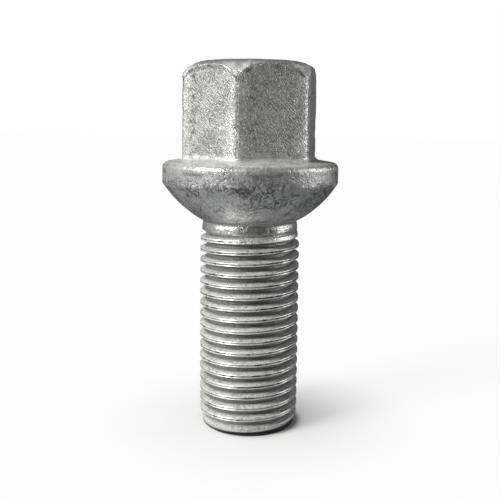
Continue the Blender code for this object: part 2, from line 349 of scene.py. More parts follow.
def column_angles():
    """Angles round the axis, closest together at the hexagon's corners, and each one's from its corner."""
    half = CORNER_COLUMNS_HALF
    in_corner = np.linspace(-half, half, COLUMNS_PER_CORNER)
    on_flat = np.linspace(half, math.pi / 3 - half, COLUMNS_PER_FLAT + 2)[1:-1]
    sector = np.concatenate([in_corner, on_flat])
    angles = np.concatenate([sector + k * math.pi / 3 for k in range(6)])
    nearest = np.round(angles / (math.pi / 3)) * math.pi / 3
    return angles - math.pi / 2, angles - nearest


ANGLES, FROM_CORNER = column_angles()
COLUMNS = len(ANGLES)


def hexagon_radius(offset=0.0):
    """Distance from the axis to the rounded hexagon, grown by offset, in each column."""
    corner_r = HEX_CORNER_R + offset
    angle = np.abs(FROM_CORNER)
    reach = math.atan2(corner_r / 2, HEX_CORNER_CENTRE + corner_r * math.cos(math.pi / 6))
    flat = (HEX_APOTHEM + offset) / np.cos(math.pi / 6 - angle)
    across = np.minimum(HEX_CORNER_CENTRE * np.sin(angle), corner_r)
    corner = HEX_CORNER_CENTRE * np.cos(angle) + np.sqrt(corner_r**2 - across**2)
    return np.where(angle > reach, flat, corner)


def collar_face_z(radius):
    return COLLAR_TOP_Z + (COLLAR_R - radius) * math.tan(COLLAR_SLOPE)


def crown_edge():
    """The rounded edge between the top face and the turned chamfer."""
    centre = (TOP_LAND_R, TOP_Z - TOP_EDGE)
    return arc(centre, TOP_EDGE, math.pi / 2, math.pi / 2 - TOP_CHAMFER, CROWN_EDGE_ROWS)


def crown_z(radius, edge_end):
    """Height of the turned chamfer: a cone, then a shoulder that turns down into the corners."""
    corner_reach = HEX_CORNER_CENTRE + HEX_CORNER_R
    shoulder_r = corner_reach - TOP_SHOULDER * math.sin(TOP_SHOULDER_END)
    cone_end_r = shoulder_r + TOP_SHOULDER * math.sin(TOP_CHAMFER)
    cone_z = edge_end[1] - (np.minimum(radius, cone_end_r) - edge_end[0]) * math.tan(TOP_CHAMFER)
    shoulder_z = cone_z - TOP_SHOULDER * math.cos(TOP_CHAMFER)
    turned = shoulder_z + np.sqrt(np.maximum(0, TOP_SHOULDER**2 - (radius - shoulder_r) ** 2))
    return np.where(radius <= cone_end_r, cone_z, turned)


def full_ring(radius, z):
    """One ring of the grid as an array of (r, z) in each column."""
    ring = np.empty((COLUMNS, 2))
    ring[:, 0] = radius
    ring[:, 1] = z
    return ring


def head_rings():
    """Rings from the middle of the top face down to the foot of the hexagon's fillet."""
    rings = [full_ring(r, TOP_Z) for r in np.linspace(MIDDLE_R, TOP_LAND_R, TOP_ROWS)[:-1]]
    edge = crown_edge()
    rings += [full_ring(r, z) for r, z in edge]
    edge_r = edge[-1][0]
    for share in np.sin(np.linspace(0, math.pi / 2, CROWN_ROWS))[1:]:
        radius = edge_r + (hexagon_radius() - edge_r) * share
        rings.append(full_ring(radius, crown_z(radius, edge[-1])))
    top = rings[-1][:, 1]
    foot = collar_face_z(hexagon_radius()) + HEX_BASE_FILLET
    for share in np.linspace(0, 1, SIDE_ROWS)[1:-1]:
        rings.append(full_ring(hexagon_radius(), top + (foot - top) * share))
    for turn in np.linspace(0, math.pi / 2, FOOT_ROWS):
        radius = hexagon_radius(HEX_BASE_FILLET * (1 - math.cos(turn)))
        rings.append(full_ring(radius, collar_face_z(radius) + HEX_BASE_FILLET * (1 - math.sin(turn))))
    return rings


def between(start, end, steps):
    """Points strictly between two points."""
    shares = np.linspace(0, 1, steps + 2)[1:-1]
    return [(start[0] + (end[0] - start[0]) * s, start[1] + (end[1] - start[1]) * s) for s in shares]


def collar_rings(inner):
    """Rings over the collar, down its band and the ball seat, and along the neck to the thread."""
    slope_normal = math.pi / 2 - COLLAR_SLOPE
    rim_r = COLLAR_R - COLLAR_TOP_EDGE
    rim_z = collar_face_z(rim_r + COLLAR_TOP_EDGE * math.cos(slope_normal))
    rim_z -= COLLAR_TOP_EDGE * math.sin(slope_normal)
    rim = arc((rim_r, rim_z), COLLAR_TOP_EDGE, slope_normal, 0, RIM_ROWS)
    low_r = COLLAR_R - COLLAR_LOW_EDGE
    low_z = SEAT_CENTRE_Z - math.sqrt((SEAT_R - COLLAR_LOW_EDGE) ** 2 - low_r**2)
    seat_start = -math.acos(low_r / (SEAT_R - COLLAR_LOW_EDGE))
    low = arc((low_r, low_z), COLLAR_LOW_EDGE, 0, seat_start, LOW_EDGE_ROWS)
    fillet_r = UNDERCUT_R + NECK_FILLET
    seat_end = -math.acos(fillet_r / (SEAT_R + NECK_FILLET))
    seat = arc((0, SEAT_CENTRE_Z), SEAT_R, seat_start, seat_end, SEAT_ROWS)[1:]
    fillet_z = SEAT_CENTRE_Z + (SEAT_R + NECK_FILLET) * math.sin(seat_end)
    fillet = arc((fillet_r, fillet_z), NECK_FILLET, seat_end + math.pi, math.pi, FILLET_ROWS)[1:]
    neck_top = (NECK_R, fillet_z - UNDERCUT_LENGTH)
    neck = [*between(fillet[-1], neck_top, NECK_ROWS), neck_top]

    rings = []
    for share in np.linspace(0, 1, COLLAR_ROWS)[1:-1]:
        radius = inner[:, 0] + (rim[0][0] - inner[:, 0]) * share
        rings.append(full_ring(radius, collar_face_z(radius)))
    points = rim + between(rim[-1], low[0], BAND_ROWS) + low + seat + fillet + neck
    points += between(neck_top, (NECK_R, THREAD_HIGH_Z), NECK_ROWS)
    return rings + [full_ring(r, z) for r, z in points]


def end_rings():
    """Rings from the end's rounded edge to the middle of the end face."""
    start = math.asin(1 - THREAD_LOW_Z / END_EDGE)
    edge = arc((END_FACE_R, END_EDGE), END_EDGE, -start, -math.pi / 2, END_EDGE_ROWS)[1:]
    rings = [full_ring(r, z) for r, z in edge]
    return rings + [full_ring(r, 0) for r in np.linspace(END_FACE_R, MIDDLE_R, END_ROWS)[1:]]


def rise(x):
    """Smooth step from 0 to 1."""
    x = np.clip(x, 0, 1)
    return x * x * (3 - 2 * x)


def climb(value, start, width):
    """Smooth step from 0 at start to 1 at a width beyond it."""
    return rise((value - start) / width)


def hump(distance, width):
    """1 at no distance, and close to 0 from twice the width on."""
    return np.exp(-((distance / width) ** 2))


def patches(noise, contrast, base, most=1):
    """How much of a mark shows where a noise breaks it up."""
    return np.clip(noise * contrast + base, 0, most)


def weighted(at, weights):
    """Sum of places, given by their names and weights."""
    return sum(getattr(at, name) * weight for name, weight in weights.items())


def thread_radius(angle, z):
    """Surface of the shank: rolled thread with a seam in its crests, lead-in, and run-out at the neck."""
    turn = (angle / (2 * math.pi)) % 1.0
    share = (z - CREST_HEIGHT_AT_X) / THREAD_PITCH - turn
    share = np.abs((share + 0.5) % 1.0 - 0.5)
    depth = THREAD_MAJOR_R - THREAD_ROOT_R
    flank = (share - CREST_HALF) / (0.5 - CREST_HALF - ROOT_HALF)
    edge = FLANK_SOFTENING * (np.clip(flank + FLANK_SOFTENING, 0, 1) / (2 * FLANK_SOFTENING)) ** 2
    softened = np.where(flank < FLANK_SOFTENING, edge, flank)
    radius = THREAD_MAJOR_R - depth * np.clip(softened, 0, 1)
    radius = radius - CREST_SEAM * hump(share, SEAM_SHARE)

    fade = climb(z, NECK_END_Z - CREST_FADE_LENGTH, CREST_FADE_LENGTH)
    crest_limit = THREAD_MAJOR_R + (NECK_R - THREAD_MAJOR_R) * fade
    lead_in = (z - END_EDGE) / (LEAD_IN_LENGTH - END_EDGE)
    edge_r = END_FACE_R + END_EDGE
    crest_limit = np.minimum(crest_limit, edge_r + (THREAD_MAJOR_R - edge_r) * rise(lead_in))
    core_low = THREAD_ROOT_R - (NECK_R - THREAD_ROOT_R)
    core = core_low + (NECK_R - core_low) * (z - (NECK_END_Z - RUNOUT_LENGTH)) / RUNOUT_LENGTH
    radius = np.maximum(np.minimum(radius, crest_limit), np.minimum(core, NECK_R))
    in_edge = END_FACE_R + np.sqrt(np.maximum(0, END_EDGE**2 - (END_EDGE - z) ** 2))
    return np.where(z < END_EDGE, np.minimum(radius, in_edge), radius)


def thread_grid():
    """Points (r, z) by column and row, with rows that follow the helix and are cut off at both ends."""
    turns = math.ceil((THREAD_HIGH_Z - THREAD_LOW_Z) / THREAD_PITCH) + 3
    shares = np.concatenate([np.array(ROWS_PER_PITCH) + k for k in range(turns)])
    lift = (ANGLES / (2 * math.pi)) - ANGLES[0] / (2 * math.pi)
    start_turn = (ANGLES[0] / (2 * math.pi)) % 1.0
    z = CREST_HEIGHT_AT_X + THREAD_PITCH * (shares[None, :] - 2 + start_turn + lift[:, None])
    z = np.clip(z, THREAD_LOW_Z, THREAD_HIGH_Z)
    return np.stack([thread_radius(ANGLES[:, None], z), z], axis=2)


class Grid:
    """Collects points and faces of the bolt's surface."""

    def __init__(self):
        self.points = []
        self.faces = []
        self.count = 0

    def add_points(self, r, z, angle):
        """Adds points and returns the first one's number."""
        points = np.stack([r * np.cos(angle), r * np.sin(angle), z], axis=-1).reshape(-1, 3)
        first = self.count
        self.points.append(points)
        self.count += len(points)
        return first

    def add_rings(self, rings):
        """Rings from the top down, each joined to the one before. Returns the first point's number."""
        stack = np.array(rings)
        first = self.add_points(stack[..., 0], stack[..., 1], ANGLES[None, :])
        column = np.arange(COLUMNS)
        following = (column + 1) % COLUMNS
        for row in range(len(rings) - 1):
            upper = first + row * COLUMNS
            lower = upper + COLUMNS
            quads = np.stack([upper + column, lower + column, lower + following, upper + following], axis=1)
            self.faces += quads.tolist()
        return first

    def add_cap(self, ring_start, z, upward):
        """A fan from a ring to a point on the axis."""
        middle = self.add_points(np.array([0.0]), np.array([z]), np.array([0.0]))
        for i in range(COLUMNS):
            j = (i + 1) % COLUMNS
            edge = (ring_start + i, ring_start + j) if upward else (ring_start + j, ring_start + i)
            self.faces.append([*edge, middle])

    def add_helix(self, grid):
        """Columns of the thread's grid. The last column joins the first one a turn further up."""
        rows = grid.shape[1]
        first = self.add_points(grid[..., 0], grid[..., 1], ANGLES[:, None])
        for column in range(COLUMNS):
            last = column == COLUMNS - 1
            step = len(ROWS_PER_PITCH) if last else 0
            following = first if last else first + (column + 1) * rows
            row = np.arange(rows - 1 - step)
            here = first + column * rows + row
            there = following + row + step
            self.faces += np.stack([here, there, there + 1, here + 1], axis=1).tolist()


def bolt_mesh():
    grid = Grid()
    upper = head_rings()
    upper += collar_rings(upper[-1])
    start = grid.add_rings(upper)
    grid.add_cap(start, TOP_Z, upward=True)
    # The ring that the neck ends on and the one that the end's edge starts from are the thread's own.
    thread = thread_grid()
    grid.add_helix(thread)
    lower = [full_ring(thread[:, 0, 0], THREAD_LOW_Z), *end_rings()]
    start = grid.add_rings(lower)
    grid.add_cap(start + (len(lower) - 1) * COLUMNS, 0.0, upward=False)
    neck = [upper[-1], full_ring(thread[:, -1, 0], THREAD_HIGH_Z)]
    grid.add_rings(neck)
    mesh = bpy.data.meshes.new("bolt")
    mesh.from_pydata(np.concatenate(grid.points).tolist(), [], grid.faces)
    return mesh


def lattice_noise(points, seed):
    """Smooth noise from -1 to 1, on a lattice whose cells are one unit wide."""
    cell = np.floor(points).astype(np.int64)
    part = points - cell
    part = part * part * (3 - 2 * part)
    total = np.zeros(len(points))
    salt = np.uint32(seed * 2654435761 % 2**32)
    for corner in range(8):
        step = np.array([corner & 1, corner >> 1 & 1, corner >> 2 & 1])
        weight = np.where(step == 1, part, 1 - part).prod(axis=1)
        place = (cell + step).astype(np.uint32)  # and from it a hash, which is the value there
        value = place[:, 0] * np.uint32(73856093) ^ place[:, 1] * np.uint32(19349663)
        value = value ^ place[:, 2] * np.uint32(83492791) ^ salt
        value = (value ^ value >> np.uint32(13)) * np.uint32(1274126177)
        value = (value ^ value >> np.uint32(15)) * np.uint32(2246822519)
        value = value ^ value >> np.uint32(16)
        total += weight * (value / 2**31 - 1)
    return total


def rough_noise(points, width, seed, octaves=3):
    """Noise in lumps of the given width in metres, with finer lumps on them."""
    total = np.zeros(len(points))
    for octave in range(octaves):
        total += lattice_noise(points * (2**octave / width), seed + octave) * 0.5**octave
    return total


def bend_of(mesh, points, normals):
    """How sharply the surface bends at each vertex, per metre: positive on ridges, negative in hollows."""
    ends = np.empty(len(mesh.edges) * 2, dtype=np.int32)
    mesh.edges.foreach_get("vertices", ends)
    ends = ends.reshape(-1, 2)
    across = points[ends[:, 1]] - points[ends[:, 0]]
    turn = normals[ends[:, 1]] - normals[ends[:, 0]]
    bend = (across * turn).sum(axis=1) / (across**2).sum(axis=1)
    count = np.bincount(ends.ravel(), minlength=len(points))
    total = np.bincount(ends.ravel(), np.repeat(bend, 2), minlength=len(points))
    return total / np.maximum(count, 1)


def crest_share(points):
    """Height above the middle of the nearest crest of the thread, as a share of the pitch."""
    turn = np.arctan2(points[:, 1], points[:, 0]) / (2 * math.pi)
    share = (points[:, 2] - CREST_HEIGHT_AT_X) / THREAD_PITCH - turn
    return (share + 0.5) % 1.0 - 0.5


def vectors(items, name):
    """A vector property of all items, one row for each."""
    values = np.empty(len(items) * 3)
    items.foreach_get(name, values)
    return values.reshape(-1, 3)


def measure(mesh):
    """Where each vertex lies on the bolt: lengths in metres, weights from 0 to 1, and noises there."""
    at = SimpleNamespace()
    at.points = vectors(mesh.vertices, "co")
    at.normals = vectors(mesh.vertex_normals, "vector")
    at.radius = np.hypot(at.points[:, 0], at.points[:, 1])
    at.height = at.points[:, 2]  # a view, so it follows the points when they move
    at.bend = bend_of(mesh, at.points, at.normals)
    at.share = crest_share(at.points)

    at.on_thread = 1 - climb(at.height, THREAD_HIGH_Z - PART_BLEND, PART_BLEND)
    at.on_head = 1 - at.on_thread
    at.on_hex = climb(at.height, COLLAR_TOP_Z + PART_BLEND / 2, PART_BLEND)
    at.on_collar = at.on_head * (1 - at.on_hex)
    at.ridge = np.clip(at.bend * RIDGE_BEND, 0, 1)
    at.hollow = np.clip(-at.bend * HOLLOW_BEND, 0, 1) * at.on_head
    at.crest = at.on_thread * climb(at.radius, THREAD_MAJOR_R - CREST_BAND, CREST_BLEND)
    # The crest's seam, which the dirt weights also paint dark as painted shade
    at.seam = at.crest * hump(at.share, SEAM_SHARE)

    sector = (np.arctan2(at.points[:, 1], at.points[:, 0]) + math.pi / 2) % (math.pi / 3)
    turned = np.minimum(sector, math.pi / 3 - sector)
    on_side = at.on_hex * climb(at.radius, SIDE_R, SIDE_BLEND)
    at.from_corner = turned * at.radius
    at.corner = on_side * hump(at.from_corner, CORNER_WIDTH)
    at.beside_corner = on_side * hump(sector * at.radius - STAIN_FROM_CORNER, STAIN_WIDTH)
    order = np.argsort(np.abs(FROM_CORNER))
    arc_z = crown_z(hexagon_radius(), crown_edge()[-1])[order]
    at.below_arc = np.interp(turned, np.abs(FROM_CORNER)[order], arc_z) - at.height

    at.lumps = rough_noise(at.points, *LUMPS)
    at.chips = rough_noise(at.points, *CHIPS)
    at.fine = rough_noise(at.points, *FINE)
    beads = rough_noise(at.points * BEAD_STRETCH, *BEADS)
    beads += BEAD_PATCH_SHARE * rough_noise(at.points, *BEAD_PATCHES)
    # Pits in the seam, cut into the surface and also painted dark as painted shade
    at.seam_pits = patches(beads, *SEAM_PIT_PATCHES) * at.seam
    return at


def dents(at):
    """How deep in a dent each vertex lies, from 0 to 1. The top face, where points crowd, has none."""
    rng = np.random.default_rng(DENT_SEED)
    places = at.points[rng.choice(np.flatnonzero(at.height > SHANK_LENGTH), DENT_COUNT)]
    depths = np.zeros(len(at.points))
    for place, size in zip(places, rng.uniform(*DENT_SIZES, DENT_COUNT)):
        if math.hypot(place[0], place[1]) < TOP_LAND_R:
            continue
        near = np.flatnonzero((np.abs(at.points - place) < DENT_REACH * size).all(axis=1))
        away = np.sqrt(((at.points[near] - place) ** 2).sum(axis=1))
        depths[near] = np.maximum(depths[near], hump(away, size))
    return depths


def move_surface(mesh, at):
    """Moves the vertices for the marks of forging and rolling."""
    at.dents = dents(at)
    edges = patches(at.ridge, *EDGE_PATCHES) * (at.on_collar + at.on_hex * EDGES_ON_HEX)
    move = at.lumps * LUMP_DEPTH * at.on_head
    move -= patches(at.chips, *CHIP_PATCHES) * CORNER_CHIP_DEPTH * at.corner
    move += (at.chips * RIDGE_CHIP_DEPTH + at.fine * RIDGE_FINE_DEPTH) * edges
    move += at.fine * FINE_DEPTH * at.on_head
    move += rough_noise(at.points, *CREST_GRAIN) * CREST_GRAIN_DEPTH * at.crest
    move -= at.seam_pits * SEAM_PIT_DEPTH
    move -= at.dents * DENT_DEPTH
    at.points += at.normals * move[:, None]
    mesh.vertices.foreach_set("co", at.points.ravel())


def thread_wear(at):
    """Weights for the thread: painted shade under its crests, worn flanks painted lighter, polished crests,
    the end's edge painted dark as shade, and the last turn worn and painted lighter.
    """
    end = 1 - climb(at.height, NECK_END_Z - THREAD_BLEND, THREAD_BLEND)
    full_thread = at.on_thread * climb(at.height, FULL_THREAD_Z, PART_BLEND) * end
    # Painted shade on the roots and lower flanks, below each crest
    at.under = full_thread * np.interp(at.share, *zip(*PAINTED_SHADE_UNDER_CREST))
    # The upper flanks, worn and painted lighter towards the root as painted light
    at.flank = full_thread * np.interp(at.share, *zip(*FLANK_WEAR_AND_PAINTED_LIGHT))
    polish_end = NECK_END_Z - THREAD_BLEND - PART_BLEND
    at.polish = at.on_thread * np.interp(np.abs(at.share), *zip(*CREST_POLISH))
    at.polish *= 1 - climb(at.height, polish_end, THREAD_BLEND)
    # The end's edge next to the floor, painted dark as painted shade
    at.sole = at.on_thread * (1 - climb(at.height, SOLE_TOP, SOLE_BLEND))
    # The last turn: worn, and painted lighter as painted light from the floor
    at.foot = at.on_thread * (1 - climb(at.height, FOOT_TOP, FOOT_BLEND))
    at.foot *= climb(at.height, SOLE_TOP / 2, SOLE_BLEND)


def head_wear(at):
    """Weights for the neck, the collar and the crown."""
    near_neck = climb(at.height, NECK_END_Z - THREAD_BLEND, THREAD_BLEND / 2)
    at.on_neck = hump(at.radius - NECK_R, NECK_WIDTH) * near_neck
    at.on_band = at.on_collar * climb(at.height, COLLAR_LOW_Z - BAND_BLEND / 2, BAND_BLEND)
    # The collar's upper face: worn, and painted paler as a painted highlight
    at.on_ledge = climb(at.height, COLLAR_TOP_Z - LEDGE_BLEND, LEDGE_BLEND)
    at.on_ledge *= hump(np.maximum(at.height - HEX_BASE_Z, 0), LEDGE_ABOVE)
    # A paler place low on the seat: rubbed, and a painted reflection of the floor
    from_rubbed = np.sqrt(((at.points - RUBBED_AND_PAINTED_REFLECTION_PLACE) ** 2).sum(axis=1))
    at.rubbed = at.on_collar * hump(from_rubbed, RUBBED_AND_PAINTED_REFLECTION_SIZE)
    at.above_arc = at.on_hex * climb(-at.below_arc, 0, ARC_WIDTH)
    # Painted highlight on the crown over each corner
    at.wedge = at.above_arc * hump(at.from_corner, WEDGE_WIDTH) * hump(at.below_arc, WEDGE_HEIGHT)
    at.wedge *= patches(at.chips, *WEDGE_PATCHES) * climb(at.radius, TOP_LAND_R, WEDGE_BLEND)
    at.top_rim = at.on_hex * hump(at.height - TOP_Z, TOP_RIM_HEIGHT)
    at.top_rim *= hump(np.maximum(TOP_LAND_R - at.radius, 0), TOP_RIM_WIDTH)


def worn_places(at):
    """Ridges, crests, flanks, corners and the collar's upper face, worn. On the flanks, the collar's upper
    face, the crown over each corner, the last turn and the seat's pale place this is also painted light.
    """
    ridges = at.ridge * (RIDGE_WEAR + RIDGE_WEAR_BY_CHIPS * at.chips)
    on_arc = at.on_hex * hump(at.below_arc + ARC_WIDTH / 2, ARC_WIDTH)
    on_arc *= patches(at.fine, *ARC_WEAR_PATCHES)
    return ridges + at.crest * (1 - at.seam) + on_arc + weighted(at, WORN_AND_PAINTED_LIGHT)


def dirty_places(at):
    """Dirt in hollows and dents, painted shade on the thread's roots and lower flanks, in its seam and on
    the end's edge next to the floor, and darker lines beside edges.
    """
    from_line = at.height - COLLAR_TOP_Z + RIM_LINE_BELOW + at.lumps * RIM_LINE_WANDER
    rim_line = at.on_collar * hump(from_line, RIM_LINE_WIDTH)
    rim_line *= patches(at.lumps, RIM_LINE_CONTRAST, at.chips)
    corner = at.corner * patches(at.chips, *CORNER_DIRT_PATCHES)
    under_arc = at.on_hex * hump(at.below_arc - ARC_DIRT_BELOW, ARC_WIDTH)
    under_arc *= patches(at.chips, *ARC_DIRT_PATCHES)
    return weighted(at, DIRTY_AND_PAINTED_SHADE) + rim_line * RIM_LINE_DIRT + corner * CORNER_DIRT + under_arc


def stained_places(at):
    """Patches on the hexagon's sides, along one edge of each and under its arc."""
    under_arc = at.on_hex * hump(at.below_arc - ARC_DIRT_BELOW, ARC_STAIN_WIDTH)
    beside_corner = at.beside_corner * patches(at.chips, *CORNER_STAIN_PATCHES)
    return beside_corner + under_arc * patches(at.lumps, *ARC_STAIN_PATCHES)


def dull_places(at):
    """The ball seat, and less of the collar's band above it."""
    dull = at.on_collar * climb(at.radius, NECK_R + NECK_WIDTH, PART_BLEND)
    dull *= 1 - DULLNESS_LOST_ON_BAND * climb(at.height, COLLAR_LOW_Z - PART_BLEND, DULL_BLEND)
    dull *= 1 - climb(at.height, COLLAR_TOP_Z - PART_BLEND, PART_BLEND / 2)
    return dull * (SEAT_DULLNESS + DULLNESS_BY_LUMPS * at.lumps) - at.rubbed


def slanting_strokes(at):
    """Coordinates with each side of the hexagon laid out flat and the chamfer above it."""
    x, y = at.points[:, 0], at.points[:, 1]
    side = np.round(np.arctan2(y, x) / (math.pi / 3)) % 6
    turn = side * math.pi / 3
    along = y * np.cos(turn) - x * np.sin(turn)
    up = at.height + HEX_APOTHEM - x * np.cos(turn) - y * np.sin(turn)
    return np.stack([along - up, along + up, side / 100], axis=1) * STROKE_SCALE


def wear_surface(mesh):
    """Marks the surface, and stores for the material where it is worn, dirty, smooth, matt and so on, and
    where light and shade are painted.
    """
    at = measure(mesh)
    move_surface(mesh, at)
    thread_wear(at)
    head_wear(at)
    places = {
        "stain": stained_places(at),
        "wear_and_painted_light": worn_places(at),
        "dirt_and_painted_shade": dirty_places(at),
        "smooth": weighted(at, SMOOTH),
        "bare": weighted(at, BARE),
        "polish": at.polish,
        # The seat's paler place: rubbed, and a painted reflection
        "pale": at.rubbed * (1 - at.on_neck),
        "matt_and_painted_light": weighted(at, MATT_AND_PAINTED_LIGHT),
        "dull": dull_places(at),
        "slanted": at.on_hex * (1 - climb(at.normals[:, 2], *SIDE_LEAN)),
    }
    for name, values in places.items():
        store(mesh, name, np.clip(values, 0, 1))
    store(mesh, "strokes", slanting_strokes(at))


def store(mesh, name, values):
    """Stores a number or a vector for each vertex."""
    kind, field = ("FLOAT", "value") if values.ndim == 1 else ("FLOAT_VECTOR", "vector")
    attribute = mesh.attributes.new(name, kind, "POINT")
    attribute.data.foreach_set(field, values.astype(np.float32).ravel())


def weld(mesh):
    """Joins the grid's pieces and drops the faces that the thread's ends squeezed flat."""
    bm = bmesh.new()
    bm.from_mesh(mesh)
    bmesh.ops.remove_doubles(bm, verts=bm.verts, dist=TINY)
    bmesh.ops.dissolve_degenerate(bm, edges=bm.edges, dist=TINY)
    bmesh.ops.recalc_face_normals(bm, faces=bm.faces)
    open_edges = sum(1 for edge in bm.edges if len(edge.link_faces) != 2)
    print("bolt: faces", len(bm.faces), "open edges", open_edges)
    bm.to_mesh(mesh)
    bm.free()


class Shading:
    """Adds nodes to a material or a world. A value is a number, a colour or another node's output."""

    def __init__(self, block, shader="Principled BSDF"):
        block.use_nodes = True
        self.block = block
        self.tree = block.node_tree
        self.shader = self.tree.nodes[shader]

    def put(self, socket, value):
        if isinstance(value, bpy.types.NodeSocket):
            self.tree.links.new(value, socket)
        else:
            socket.default_value = value

    def add(self, kind, inputs=(), **settings):
        node = self.tree.nodes.new("ShaderNode" + kind)
        for name, value in settings.items():
            setattr(node, name, value)
        for key, value in dict(inputs).items():
            self.put(node.inputs[key], value)
        return node

    def attribute(self, name, output="Fac"):
        return self.add("Attribute", attribute_name=name).outputs[output]

    def noise(self, vector, scale, detail=2.0, roughness=0.5, distortion=0.0):
        inputs = {"Vector": vector, "Scale": scale, "Detail": detail, "Roughness": roughness}
        inputs["Distortion"] = distortion
        return self.add("TexNoise", inputs).outputs["Fac"]

    def maths(self, operation, first, second=0.0, third=0.0, clamp=False):
        inputs = {0: first, 1: second, 2: third}
        return self.add("Math", inputs, operation=operation, use_clamp=clamp).outputs[0]

    def times(self, first, second):
        return self.maths("MULTIPLY", first, second)

    def plus(self, base, value, factor, clamp=False):
        """The base and a share of a value."""
        return self.maths("MULTIPLY_ADD", value, factor, base, clamp)

    def most(self, value, *others):
        """The largest of the values."""
        for other in others:
            value = self.maths("MAXIMUM", value, other)
        return value

    def spread(self, value, low, high, to_low=0.0, to_high=1.0):
        inputs = {"Value": value, "From Min": low, "From Max": high, "To Min": to_low, "To Max": to_high}
        return self.add("MapRange", inputs).outputs["Result"]

    def mix(self, factor, first, second, blend="MIX"):
        node = self.add("Mix", {0: factor, 6: first, 7: second}, data_type="RGBA", blend_type=blend)
        return node.outputs[2]

    def stretched(self, vector, scale):
        return self.add("Mapping", {"Vector": vector, "Scale": scale}).outputs["Vector"]


def seen_or_mirrored(paint):
    """1 where the camera, a reflection or a refraction looks, 0 where matt surfaces gather light."""
    path = paint.add("LightPath").outputs
    return paint.most(path["Is Camera Ray"], path["Is Glossy Ray"], path["Is Transmission Ray"])


def vein_marks(paint, place, dull):
    """Thin winding marks in patches, most of them on the ball seat."""
    wander = paint.noise(place, *WANDER)
    from_middle = paint.maths("ABSOLUTE", paint.maths("SUBTRACT", wander, NOISE_MIDDLE))
    vein = paint.spread(from_middle, 0.0, VEIN_WIDTH, 1.0, 0.0)
    where = paint.plus(paint.noise(place, *VEIN_AREAS), dull, VEIN_AREA_WHERE_DULL)
    vein = paint.times(vein, paint.spread(where, *VEIN_AREA_EDGE))
    return paint.times(vein, paint.plus(VEIN_STRENGTH, dull, VEIN_STRENGTH_WHERE_DULL))


def pit_marks(paint, place):
    """Small round pits, in some of a pattern's cells."""
    cells = paint.add("TexVoronoi", {"Vector": place, "Scale": PIT_SCALE})
    pit = paint.spread(cells.outputs["Distance"], *PIT_EDGE, 1.0, 0.0)
    return paint.times(pit, paint.spread(cells.outputs["Color"], *PIT_CHOICE))


def coat_colour(paint, tone):
    """The zinc coat's own colour, from dark to pale."""
    ramp = paint.add("ValToRGB", {"Fac": paint.plus(0.5, tone, 0.5, clamp=True)})
    stops = ramp.color_ramp.elements
    stops[0].color = COAT_DARK
    stops[1].color = COAT_PALE
    stops.new(0.5).color = COAT_MIDDLE
    return ramp.outputs["Color"]


